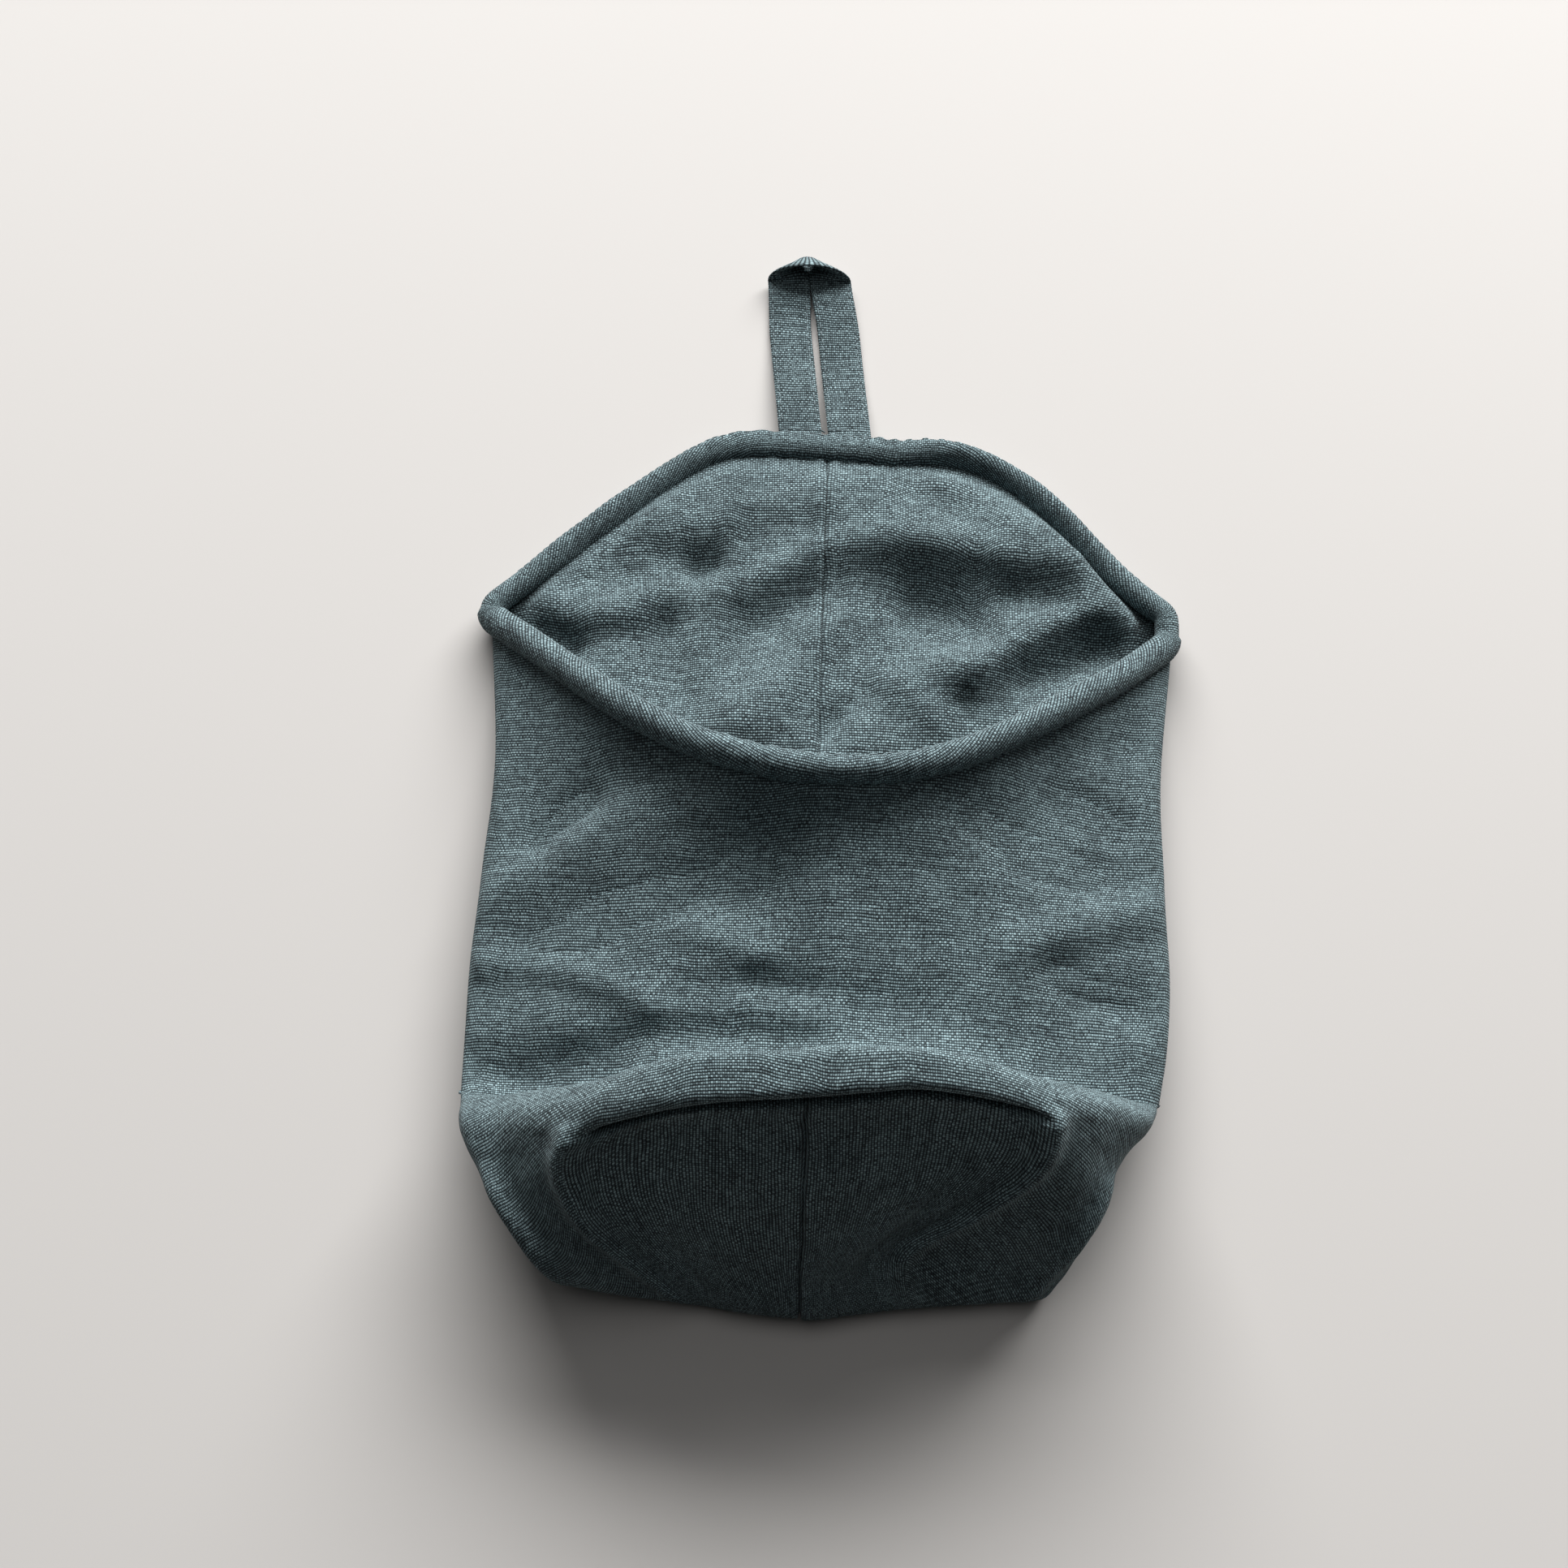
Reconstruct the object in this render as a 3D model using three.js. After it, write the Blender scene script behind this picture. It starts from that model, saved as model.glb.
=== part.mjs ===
import * as THREE from "three";

// Linen, sewing thread, and the clearance kept between two pieces that touch.
const CLOTH = 0.8;
const THREAD = 0.6;
const FIT = 0.3;
const SEAM_ROOM = FIT + THREAD / 2;

// The bag lies on its back. Lengths run from the floor edge of the base towards the loop.
const HALF_WIDTH = 110;
const SHOULDER_Y = 63;
const CORNER_Y = 234;
const CORNER_FLARE = 6;
const FLARE_POWER = 6;
const SHOULDER_FOLD = 12;
const CORNER_FOLD = 6;
const OUTLINE_POWER = 5;
const SIDE_POWER = 3;
const CROWN = 0.8;

// Centre line of the front: box seam, roll above it, deep valley behind the roll, then the sagging panel.
const SEAM_Y = 51.5;
const SEAM_Z = 66;
const SEAM_HALF = 65;
const ROLL_Y = 61;
const ROLL_Z = 73;
const VALLEY_Y = 77;
const VALLEY_Z = 36;
const CHEST_Y = 104;
const CHEST_Z = 31.5;
const WAIST_Y = 138;
const WAIST_Z = 35;
const ROW_STEP = 2;

// Rim: a round casing with a cord in it. The front rim dips towards the base and stands up off the back.
const RIM_RADIUS = 4.3;
const RIM_HALF = 113.2;
const LIP_Y = 168.2;
const LIP_Z = 44;
const LIP_RISE = -0.3;
const BACK_TOP_Y = 307.5;
const CORNER_STEP = 3.5;
const BACK_RISE = BACK_TOP_Y - RIM_RADIUS - CORNER_Y - CORNER_STEP;
const BACK_POWER = 2.3;
const CORD_RADIUS = RIM_RADIUS - CLOTH - FIT;

// Slack of the lining's back in the mouth: it stands off the back a little, and three folds lie on it.
// Each fold is a line in shares of the half width, and of the way from the front rim to the back rim.
const SLACK = 2;
const FOLD_RISE = 6.5;
const FOLD_WIDE = 10;
const FOLD_LINES = [
  [[-0.37, 0.47], [-0.15, 0.61], [0.15, 0.655], [0.4, 0.64], [0.78, 0.58]],
  [[0.34, 0.24], [0.58, 0.41], [0.84, 0.47]],
  [[-0.21, 0.1], [-0.04, 0.28], [0.1, 0.46]],
];

// Hanging loop: a folded strip, both ends side by side behind the back rim, its crown standing up.
const LOOP_WIDTH = 14.2;
const LOOP_THICK = 1.5;
const LEG_GAP = 5;
const CROWN_Y = 352;
const CROWN_LENGTH = 22.5;
const CROWN_LIFT = 6.5;
const CROWN_TILT = 0.37;
const LOOP_LEAN = -8;
const LOOP_DROOP = 18;
const LOOP_TIP_Y = CROWN_Y + CROWN_LENGTH + LOOP_WIDTH / 2 * Math.sin(CROWN_TILT) + LOOP_THICK;
const EDGE_STITCH = 1.5;
const TACK_SET = 3;

// How finely the curved pieces are drawn.
const WIDE_STEPS = 30;
const LONG_STEPS = 18;
const FLAT_STEPS = 6;
const MOUTH_STEPS = 18;
const DEEP_STEPS = 3;
const HALF_STEPS = 9;
const RISE_STEPS = 8;
const RIM_STEPS = 30;
const LOOP_STEPS = 12;
const ROUND_SIDES = 8;
const THREAD_SIDES = 4;
const TOP_SHARE = 0.86;
const EDGE_TURN = 0.985;
const LINING_TURN = 0.94;

const QUARTER = Math.PI / 2;
const { lerp, clamp, smoothstep } = THREE.MathUtils;
const vec = (x, y, z) => new THREE.Vector3(x, y, z);
const steps = (from, to, n) => Array.from({ length: n + 1 }, (_, i) => lerp(from, to, i / n));

// Sides of the bag: half width and fold radius at a length y.
const share = (y) => clamp((y - SHOULDER_Y) / (CORNER_Y - SHOULDER_Y), 0, 1);
const halfWidth = (y) => HALF_WIDTH + CORNER_FLARE * share(y) ** FLARE_POWER;
const fold = (y) => lerp(SHOULDER_FOLD, CORNER_FOLD, share(y));

// A turn t runs across the bag: 0 on the centre line, 1 at the widest point, more where the side tucks under.
const tuckEnd = (radius) => Math.acos((CLOTH + FIT) / radius - 1) / QUARTER;

function tuck(t, wide, y, radius) {
  const s = Math.sin(Math.abs(t) * QUARTER);
  const c = Math.cos(Math.abs(t) * QUARTER);
  return vec(Math.sign(t) * (wide - radius * (1 - s)), y, radius * (1 + c));
}

function across({ midY, midZ, sideY }, t) {
  const radius = fold(sideY);
  const wide = halfWidth(sideY);
  if (Math.abs(t) > 1) return tuck(t, wide, sideY, radius);
  const s = Math.sin(Math.abs(t) * QUARTER);
  const c = Math.cos(Math.abs(t) * QUARTER);
  return vec(Math.sign(t) * wide * s, lerp(midY, sideY, s ** SIDE_POWER), lerp(radius, midZ, c ** CROWN));
}

const SEAM_ROW = { midY: SEAM_Y, midZ: SEAM_Z, sideY: SHOULDER_Y };
const ROLL_ROW = { midY: ROLL_Y, midZ: ROLL_Z, sideY: SHOULDER_Y + ROW_STEP };
const VALLEY_ROW = { midY: VALLEY_Y, midZ: VALLEY_Z, sideY: SHOULDER_Y + 2 * ROW_STEP };
const CHEST_ROW = { midY: CHEST_Y, midZ: CHEST_Z, sideY: CHEST_Y };
const WAIST_ROW = { midY: WAIST_Y, midZ: WAIST_Z, sideY: WAIST_Y };

// Centre lines of the two rim casings.
function frontRim(t) {
  const s = Math.sin(t * QUARTER);
  return vec(RIM_HALF * s, lerp(LIP_Y, CORNER_Y, s * s), lerp(LIP_Z, CORNER_FOLD, s * s));
}

const backRimY = (x) => BACK_TOP_Y - RIM_RADIUS - BACK_RISE * (Math.abs(x) / RIM_HALF) ** BACK_POWER;

function backRim(t) {
  const x = RIM_HALF * Math.sin(t * QUARTER);
  return vec(x, backRimY(x), RIM_RADIUS);
}

// Direction from the front rim into the panel below it.
function intoPanel(t) {
  const s = Math.sin(t * QUARTER);
  const out = vec(2 * (CORNER_Y - LIP_Y) * s, -RIM_HALF, 0).normalize();
  return out.setZ(LIP_RISE * (1 - s * s)).normalize();
}

const LIP_GROOVE = RIM_RADIUS + 2 * SEAM_ROOM;

function lipRow(t) {
  const tip = clamp(t, -1, 1);
  const p = frontRim(tip).addScaledVector(intoPanel(tip), LIP_GROOVE);
  return Math.abs(t) > 1 ? tuck(t, Math.abs(p.x), p.y, p.z) : p;
}

// Front panel, from the box seam over the roll to the lip. a runs from one tucked edge to the other.
function turnAt(a, radius) {
  const over = (Math.abs(a) - TOP_SHARE) / (1 - TOP_SHARE);
  return Math.sign(a) * (over > 0 ? lerp(1, tuckEnd(radius), over) : Math.abs(a) / TOP_SHARE);
}

function front(a, v) {
  const t = (row) => turnAt(a, fold(row.sideY));
  const seam = across(SEAM_ROW, t(SEAM_ROW));
  const roll = across(ROLL_ROW, t(ROLL_ROW));
  const start = seam.clone().addScaledVector(roll.clone().sub(seam).normalize(), SEAM_ROOM);
  const rest = [VALLEY_ROW, CHEST_ROW, WAIST_ROW].map((row) => across(row, t(row)));
  const lip = lipRow(turnAt(a, CORNER_FOLD));
  return new THREE.CatmullRomCurve3([start, roll, ...rest, lip], false, "centripetal").getPoint(v);
}

// Base and the side lobes that run into it. e is 0 at the widest line, 1 at the box seam, -1 at the floor edge.
// The middle of the base is almost flat, and the lobes are full: swell is the part kept of a full quarter round.
const BASE_SWELL = 0.15;
const outlineY = (s) => SHOULDER_Y * s ** OUTLINE_POWER;

function base(t, e) {
  const s = Math.sin(Math.abs(t) * QUARTER);
  const rim = vec(Math.sign(t) * halfWidth(SHOULDER_Y) * s, outlineY(s), SHOULDER_FOLD);
  if (e < 0) {
    const angle = -e * (tuckEnd(SHOULDER_FOLD) - 1) * QUARTER;
    const inward = vec(-rim.x, SHOULDER_Y - rim.y, 0).normalize();
    rim.addScaledVector(inward, SHOULDER_FOLD * (1 - Math.cos(angle)));
    return rim.setZ(SHOULDER_FOLD * (1 - Math.sin(angle)));
  }
  const top = across(SEAM_ROW, t);
  const swell = lerp(BASE_SWELL, 1, s ** OUTLINE_POWER);
  const bend = lerp(e, 1 - Math.cos(e * QUARTER), swell);
  const rise = lerp(e, Math.sin(e * QUARTER), swell);
  return vec(lerp(rim.x, top.x, bend), lerp(rim.y, top.y, bend), lerp(rim.z, top.z, rise));
}

const BASE_TOP = 1 - SEAM_ROOM / SEAM_Y;

// Back panels, flat on the floor. inset is the part of the fold radius that the panel stops short of the outline.
const chord = (z) => Math.sqrt(RIM_RADIUS ** 2 - (RIM_RADIUS - z) ** 2);

function back(t, v, inset, margin, groove) {
  const s = Math.sin(Math.abs(t) * QUARTER);
  const edge = (y) => HALF_WIDTH - inset * fold(y) - margin;
  const farX = s * edge(CORNER_Y);
  const slope = BACK_RISE * BACK_POWER * (farX / RIM_HALF) ** (BACK_POWER - 1) / RIM_HALF;
  const south = outlineY(s) + (inset * SHOULDER_FOLD + margin) * (1 - s * s);
  const north = backRimY(farX) - groove * Math.hypot(1, slope);
  const y = lerp(north, south, v);
  return vec(Math.sign(t) * s * edge(y), y, 0);
}

const OUTER_INSET = 0.25;
const LINING_INSET = 0.6;
const LINING_MARGIN = 2.4;
const LINING_TOP = 2 * CLOTH + FIT;
const outerBack = (t, v) => back(t, v, OUTER_INSET, 0, chord(CLOTH) + FIT);

// The lining's slack fades towards the back rim, the side folds and the deep end, and is level across its seam.
const LEVEL_TURN = 0.11;
const foldLines = FOLD_LINES.flatMap((line) => {
  const ends = line.map(([x, y]) => vec(x * RIM_HALF, lerp(LIP_Y, BACK_TOP_Y, y), 0));
  return ends.slice(1).map((end, i) => new THREE.Line3(ends[i], end));
});

function liningBack(t, v) {
  const p = back(t, v, LINING_INSET, LINING_MARGIN, chord(LINING_TOP) + FIT);
  const level = p.clone().setX(p.x * smoothstep(Math.abs(t), LEVEL_TURN, 2 * LEVEL_TURN));
  const away = foldLines.map((line) => line.closestPointToPoint(level, true, vec()).distanceTo(level));
  const rise = SLACK + FOLD_RISE * Math.exp(-((Math.min(...away) / FOLD_WIDE) ** 2));
  const fade = smoothstep(v, 0.03, 0.1) * (1 - smoothstep(v, 0.35, 0.5)) * (1 - smoothstep(Math.abs(t), 0.6, 0.85));
  return p.setZ(rise * fade);
}

// A closed sheet between two depths under a surface point(u, v) whose normal faces out.
// Columns named in drop are left off at the first and the last side.
function sheet(point, us, vs, near, far, drop = [0, 0]) {
  const nu = us.length - drop[0] - drop[1];
  const nv = vs.length;
  const grid = us.map((u) => vs.map((v) => point(u, v)));
  const at = (i, j) => grid[clamp(i, 0, us.length - 1)][clamp(j, 0, nv - 1)];
  const sunk = (i, j, depth) => {
    const along = at(i + 1, j).clone().sub(at(i - 1, j));
    const up = at(i, j + 1).clone().sub(at(i, j - 1));
    return at(i, j).clone().addScaledVector(along.cross(up).normalize(), -depth);
  };
  const columns = us.map((_, i) => i).slice(drop[0], us.length - drop[1]);
  const places = [near, far].flatMap((depth) => columns.flatMap((i) => vs.map((_, j) => sunk(i, j, depth))));
  const id = (i, j, layer) => layer * nu * nv + i * nv + j;
  const faces = [];
  const quad = (a, b, c, d) => faces.push(a, b, c, a, c, d);
  for (let i = 0; i < nu - 1; i++) {
    for (let j = 0; j < nv - 1; j++) {
      quad(id(i, j, 0), id(i + 1, j, 0), id(i + 1, j + 1, 0), id(i, j + 1, 0));
      quad(id(i, j, 1), id(i, j + 1, 1), id(i + 1, j + 1, 1), id(i + 1, j, 1));
    }
    quad(id(i, 0, 0), id(i, 0, 1), id(i + 1, 0, 1), id(i + 1, 0, 0));
    quad(id(i, nv - 1, 0), id(i + 1, nv - 1, 0), id(i + 1, nv - 1, 1), id(i, nv - 1, 1));
  }
  for (let j = 0; j < nv - 1; j++) {
    quad(id(0, j, 0), id(0, j + 1, 0), id(0, j + 1, 1), id(0, j, 1));
    quad(id(nu - 1, j, 0), id(nu - 1, j, 1), id(nu - 1, j + 1, 1), id(nu - 1, j + 1, 0));
  }
  return solid(places, faces);
}

// A round cord along a row of points, hollow when it has a bore. ref is never along the cord.
function cord(path, radius, sides, ref, bore) {
  const rings = bore ? [radius, bore] : [radius];
  const places = rings.flatMap((r) =>
    path.flatMap((p, i) => {
      const ahead = path[Math.min(i + 1, path.length - 1)].clone().sub(path[Math.max(i - 1, 0)]).normalize();
      const side = ahead.clone().cross(ref).normalize();
      const up = side.clone().cross(ahead);
      return Array.from({ length: sides }, (_, k) => {
        const angle = 2 * Math.PI * k / sides;
        return p.clone().addScaledVector(side, r * Math.cos(angle)).addScaledVector(up, r * Math.sin(angle));
      });
    }),
  );
  const last = path.length - 1;
  const id = (i, k, ring) => (ring * path.length + i) * sides + k % sides;
  const faces = [];
  const quad = (a, b, c, d) => faces.push(a, b, c, a, c, d);
  for (let k = 0; k < sides; k++) {
    for (let i = 0; i < last; i++) {
      quad(id(i, k, 0), id(i + 1, k, 0), id(i + 1, k + 1, 0), id(i, k + 1, 0));
      if (bore) quad(id(i, k, 1), id(i, k + 1, 1), id(i + 1, k + 1, 1), id(i + 1, k, 1));
    }
    if (bore) {
      quad(id(0, k, 0), id(0, k + 1, 0), id(0, k + 1, 1), id(0, k, 1));
      quad(id(last, k, 0), id(last, k, 1), id(last, k + 1, 1), id(last, k + 1, 0));
    } else if (k > 0 && k < sides - 1) {
      faces.push(id(0, 0, 0), id(0, k, 0), id(0, k + 1, 0));
      faces.push(id(last, 0, 0), id(last, k + 1, 0), id(last, k, 0));
    }
  }
  return solid(places, faces);
}

function solid(places, faces) {
  const geometry = new THREE.BufferGeometry();
  geometry.setAttribute("position", new THREE.Float32BufferAttribute(places.flatMap((p) => p.toArray()), 3));
  geometry.setIndex(faces);
  geometry.computeVertexNormals();
  return geometry;
}

const bag = new THREE.Group();
bag.name = "hanging_storage_bag";

function add(name, geometry, color) {
  const mesh = new THREE.Mesh(geometry, new THREE.MeshStandardMaterial({ color, roughness: 0.9 }));
  mesh.name = name;
  bag.add(mesh);
}

const OUTER = 0x64777a;
const LINING = 0x5c6f72;
const CORD = 0xcfc8ba;
const STITCH = 0x4f6164;
const UP = vec(0, 0, 1);
const RIGHT = vec(1, 0, 0);

// Outer bag.
const wideSteps = steps(-1, 1, WIDE_STEPS);
const longSteps = steps(0, 1, LONG_STEPS);
const flatSteps = steps(0, 1, FLAT_STEPS);
const liningSteps = [...steps(0, 0.5, MOUTH_STEPS), ...steps(0.5, 1, DEEP_STEPS).slice(1)];
const seamTurn = Math.asin(SEAM_ROOM / HALF_WIDTH) / QUARTER;
const rightTurns = [...steps(seamTurn, LINING_TURN, HALF_STEPS), EDGE_TURN];
const leftTurns = rightTurns.map((t) => -t).reverse();
const baseRise = steps(-1, BASE_TOP, RISE_STEPS);
add("outer_front", sheet(front, wideSteps, longSteps, 0, CLOTH), OUTER);
add("outer_back_left", sheet(outerBack, leftTurns, flatSteps, 0, CLOTH), OUTER);
add("outer_back_right", sheet(outerBack, rightTurns, flatSteps, 0, CLOTH), OUTER);
add("outer_base_left", sheet(base, leftTurns, baseRise, 0, CLOTH), OUTER);
add("outer_base_right", sheet(base, rightTurns, baseRise, 0, CLOTH), OUTER);

// Lining, one cloth and one clearance further in.
const INNER_NEAR = CLOTH + FIT;
const INNER_FAR = INNER_NEAR + CLOTH;
add("lining_front", sheet(front, wideSteps, longSteps, INNER_NEAR, INNER_FAR), LINING);
add("lining_back_left", sheet(liningBack, leftTurns, liningSteps, INNER_NEAR, INNER_FAR), LINING);
add("lining_back_right", sheet(liningBack, rightTurns, liningSteps, INNER_NEAR, INNER_FAR), LINING);
add("lining_base_left", sheet(base, leftTurns, baseRise, INNER_NEAR, INNER_FAR, [1, 0]), LINING);
add("lining_base_right", sheet(base, rightTurns, baseRise, INNER_NEAR, INNER_FAR, [0, 1]), LINING);

// Rim casings and cords. The front casing stops where its end clears the end of the back casing.
let rimEnd = 1;
while (frontRim(rimEnd).distanceTo(backRim(1)) < 2 * RIM_RADIUS + FIT) rimEnd -= FIT / RIM_HALF;
const lipTurns = steps(-rimEnd, rimEnd, RIM_STEPS);
const backTurns = steps(-1, 1, RIM_STEPS);
const bore = RIM_RADIUS - CLOTH;
add("front_rim_casing", cord(lipTurns.map(frontRim), RIM_RADIUS, ROUND_SIDES, UP, bore), OUTER);
add("back_rim_casing", cord(backTurns.map(backRim), RIM_RADIUS, ROUND_SIDES, UP, bore), OUTER);
add("front_rim_cord", cord(lipTurns.map(frontRim), CORD_RADIUS, ROUND_SIDES, UP), CORD);
add("back_rim_cord", cord(backTurns.map(backRim), CORD_RADIUS, ROUND_SIDES, UP), CORD);

// Hanging loop: along is 0 and 3 at the sewn ends, 1 to 2 round the crown; side is -1 on its outer edge.
const LEG_X = (LOOP_WIDTH + LEG_GAP) / 2;
const ROOT_Y = BACK_TOP_Y + FIT;
const ROOT_Z = RIM_RADIUS + LOOP_THICK / 2;

function loopPlace(along, side) {
  const crown = clamp(along - 1, 0, 1) * Math.PI;
  const leg = Math.min(along, 3 - along, 1);
  const legY = lerp(ROOT_Y, CROWN_Y, leg);
  const drop = Math.exp((ROOT_Y - legY) / LOOP_DROOP);
  const c = Math.cos(crown);
  const s = Math.sin(crown);
  const p = vec(-LEG_X * c, legY + CROWN_LENGTH * s, lerp(LOOP_THICK + FIT, ROOT_Z, drop) + CROWN_LIFT * s);
  const wide = vec(c, Math.sin(CROWN_TILT) * s, -Math.cos(CROWN_TILT) * s).normalize();
  p.addScaledVector(wide, side * LOOP_WIDTH / 2);
  p.x += LOOP_LEAN * (p.y - ROOT_Y) / (LOOP_TIP_Y - ROOT_Y);
  return p;
}

const loopAlong = steps(0, 3, 3 * LOOP_STEPS);
const loopFace = (side, along) => loopPlace(along, side);
add("hanging_loop", sheet(loopFace, [-1, 0, 1], loopAlong, 0, LOOP_THICK), OUTER);

// Stitch rows: each is one run of thread.
function stitch(name, path, ref) {
  add(name, cord(path, THREAD / 2, THREAD_SIDES, ref), STITCH);
}

// A place beside the back rim: away along the floor from its centre line, at a height.
function besideBackRim(t, away, height) {
  const p = backRim(t);
  const slope = -Math.sign(t) * BACK_RISE * BACK_POWER * (Math.abs(p.x) / RIM_HALF) ** (BACK_POWER - 1) / RIM_HALF;
  return p.add(vec(-slope, 1, 0).normalize().multiplyScalar(away)).setZ(height);
}

const onRim = RIM_RADIUS + SEAM_ROOM;
const edgeOut = onRim * Math.SQRT1_2;
const grooveZ = LINING_TOP + SEAM_ROOM;
const lipSeam = (t) => frontRim(t).addScaledVector(intoPanel(t), onRim);
const lipEdge = (t) => frontRim(t).addScaledVector(intoPanel(t).setZ(0).normalize(), -edgeOut).add(vec(0, 0, edgeOut));
const backTurnsInside = steps(-LINING_TURN, LINING_TURN, RIM_STEPS);
stitch("front_rim_stitch", lipTurns.map(lipSeam), UP);
stitch("back_rim_stitch", backTurnsInside.map((t) => besideBackRim(t, -chord(grooveZ) - SEAM_ROOM, grooveZ)), UP);
stitch("front_edge_stitch", lipTurns.map(lipEdge), UP);
stitch("back_edge_stitch", backTurns.map((t) => besideBackRim(t, edgeOut, RIM_RADIUS + edgeOut)), UP);

const seamEnd = Math.asin(SEAM_HALF / HALF_WIDTH) / QUARTER;
const seamTurns = steps(-seamEnd, seamEnd, HALF_STEPS * 2);
const backSouth = (t) => outerBack(t, 1).add(vec(0, -SEAM_ROOM, CLOTH / 2));
stitch("base_seam_stitch", steps(-EDGE_TURN, 2 * BASE_TOP - 1, RISE_STEPS).map((e) => base(0, e)), RIGHT);
stitch("front_box_stitch", seamTurns.map((t) => across(SEAM_ROW, t)), UP);
stitch("back_box_stitch", seamTurns.map(backSouth), UP);
stitch("outer_back_stitch", [1, 0].map((v) => outerBack(0, v).setZ(CLOTH / 2)), UP);
const liningSeam = (v) => liningBack(0, v).add(vec(0, 0, INNER_NEAR + CLOTH / 2));
stitch("lining_back_stitch", liningSteps.map(liningSeam).reverse(), RIGHT);

// Edge rows of the loop, laid on its upper face, and the bar tack over its sewn ends.
function onLoop(along, side) {
  const small = FIT / LOOP_WIDTH;
  const across = loopPlace(along, side + small).sub(loopPlace(along, side - small));
  const ahead = loopPlace(along + small, side).sub(loopPlace(along - small, side));
  return loopPlace(along, side).addScaledVector(across.cross(ahead).normalize(), SEAM_ROOM);
}

const rowSide = 1 - 2 * EDGE_STITCH / LOOP_WIDTH;
const tackShare = TACK_SET / (CROWN_Y - ROOT_Y);
const rowAlong = steps(2 * tackShare, 3 - 2 * tackShare, 3 * LOOP_STEPS);
const tackX = LEG_X + LOOP_WIDTH / 2 - EDGE_STITCH;
const tackPlace = onLoop(tackShare, 0);
stitch("loop_outer_stitch", rowAlong.map((along) => onLoop(along, -rowSide)), UP);
stitch("loop_inner_stitch", rowAlong.map((along) => onLoop(along, rowSide)), UP);
stitch("loop_tack", [-tackX, tackX].map((x) => vec(x, tackPlace.y, tackPlace.z)), UP);

const box = new THREE.Box3().setFromObject(bag);
bag.position.y = -(box.min.y + box.max.y) / 2;
export default bag;
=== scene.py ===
import bpy
import numpy as np
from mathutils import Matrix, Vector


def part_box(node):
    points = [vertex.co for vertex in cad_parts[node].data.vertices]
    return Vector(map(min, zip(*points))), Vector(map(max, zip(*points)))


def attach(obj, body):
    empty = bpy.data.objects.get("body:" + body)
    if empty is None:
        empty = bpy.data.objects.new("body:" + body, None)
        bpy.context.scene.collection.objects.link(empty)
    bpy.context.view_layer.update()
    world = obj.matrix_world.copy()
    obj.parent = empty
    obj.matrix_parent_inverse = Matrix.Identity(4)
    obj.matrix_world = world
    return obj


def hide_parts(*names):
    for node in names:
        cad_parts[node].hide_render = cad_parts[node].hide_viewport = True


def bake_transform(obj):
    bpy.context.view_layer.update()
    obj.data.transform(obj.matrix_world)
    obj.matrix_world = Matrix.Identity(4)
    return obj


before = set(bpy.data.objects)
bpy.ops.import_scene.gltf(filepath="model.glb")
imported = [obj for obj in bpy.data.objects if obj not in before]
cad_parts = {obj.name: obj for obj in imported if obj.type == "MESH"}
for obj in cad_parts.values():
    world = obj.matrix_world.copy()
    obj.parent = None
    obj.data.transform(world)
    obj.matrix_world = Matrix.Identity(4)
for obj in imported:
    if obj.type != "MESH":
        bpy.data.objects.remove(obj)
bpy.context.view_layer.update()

# Camera: held over the bag, a little towards its base, and turned by two degrees.
# It looks down, 21 degrees off the vertical.
camera = bpy.data.objects.new("camera", bpy.data.cameras.new("camera"))
camera.location = (-0.0007, -0.3049, 0.7646)
camera.rotation_euler = np.radians((20.987, 0.0, 2.0))
camera.data.sensor_width = 36.0
camera.data.lens = 56.46
bpy.context.scene.collection.objects.link(camera)
bpy.context.scene.camera = camera

# Outer shell: one length of washed linen, wrapped into a tube with a seam up the middle of the back.
# The bottom end is closed by a seam from front to back, and its corners are boxed, so a roll of cloth
# stands over the box seam where the bag lies on its back.
MM = 0.001
LINEN_THICK = 0.8
BASE_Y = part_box("outer_base_left")[0].y


def in_frame(points):
    """Points in millimetres from the floor edge of the base, as metres in the frame."""
    return np.asarray(points, float) * MM + (0.0, BASE_Y, 0.0)


def spline(knots, values, at):
    """Smooth curve through the values: cubic pieces whose slopes come from the neighbouring values."""
    knots = np.asarray(knots, float)
    values = np.asarray(values, float)
    slopes = np.gradient(values, knots, axis=0)
    i = np.clip(np.searchsorted(knots, at, side="right") - 1, 0, len(knots) - 2)
    shape = (-1,) + (1,) * (values.ndim - 1)
    step = (knots[i + 1] - knots[i]).reshape(shape)
    f = ((at - knots[i]) / (knots[i + 1] - knots[i])).reshape(shape)
    rise = values[i + 1] - values[i]
    bend_start = slopes[i] * step - rise
    bend_end = rise - slopes[i + 1] * step
    return values[i] + f * rise + f * (1 - f) * ((1 - f) * bend_start + f * bend_end)


def smooth(x):
    """0 up to 0, 1 from 1 on, and an even S between them."""
    x = np.clip(x, 0, 1)
    return x * x * (3 - 2 * x)


def bell(x):
    """1 at 0, falling away to both sides."""
    return np.exp(-x * x)


def lengths(points, axis):
    """Distance along one axis of a grid of points, from its first row or column."""
    steps = np.linalg.norm(np.diff(points, axis=axis), axis=-1)
    start = np.zeros_like(np.take(steps, [0], axis=axis))
    return np.concatenate([start, np.cumsum(steps, axis=axis)], axis=axis)


def normals(points):
    """Unit normal at each point of a grid whose columns run to the right and rows run up."""
    across = np.gradient(points, axis=1)
    up = np.gradient(points, axis=0)
    n = np.cross(across, up)
    return n / np.maximum(np.linalg.norm(n, axis=-1, keepdims=True), 1e-9)


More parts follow.
